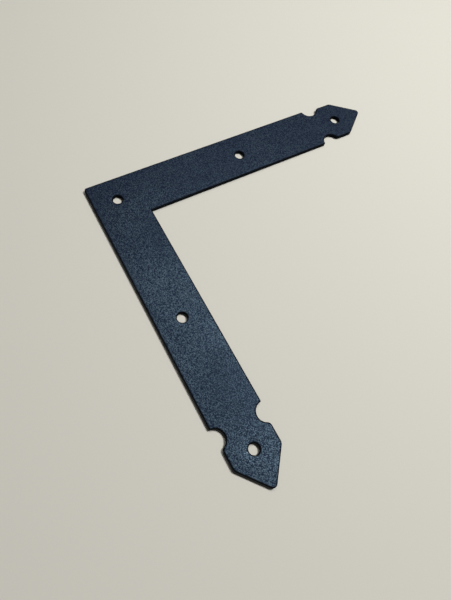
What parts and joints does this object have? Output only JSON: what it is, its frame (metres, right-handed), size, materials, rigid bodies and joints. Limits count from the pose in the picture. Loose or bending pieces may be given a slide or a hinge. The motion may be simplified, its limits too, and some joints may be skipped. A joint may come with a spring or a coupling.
{
  "type": "decorative corner plate",
  "caption": "Flat L-shaped decorative corner plate of steel sheet with notched, pointed arm ends and round screw holes, in black textured powder coat.",
  "frame": {"origin": "on the axis of the corner screw hole, at the plate's back face", "axes": "+Z out of the front face, +X along one arm to its point, +Y along the other arm"},
  "size_m": [0.2001, 0.2001, 0.0025],
  "materials": {
    "powder_coat": "fine-textured satin black powder coat"
  },
  "bodies": {
    "root": {"corner_plate": "powder_coat"}
  },
  "joints": []
}
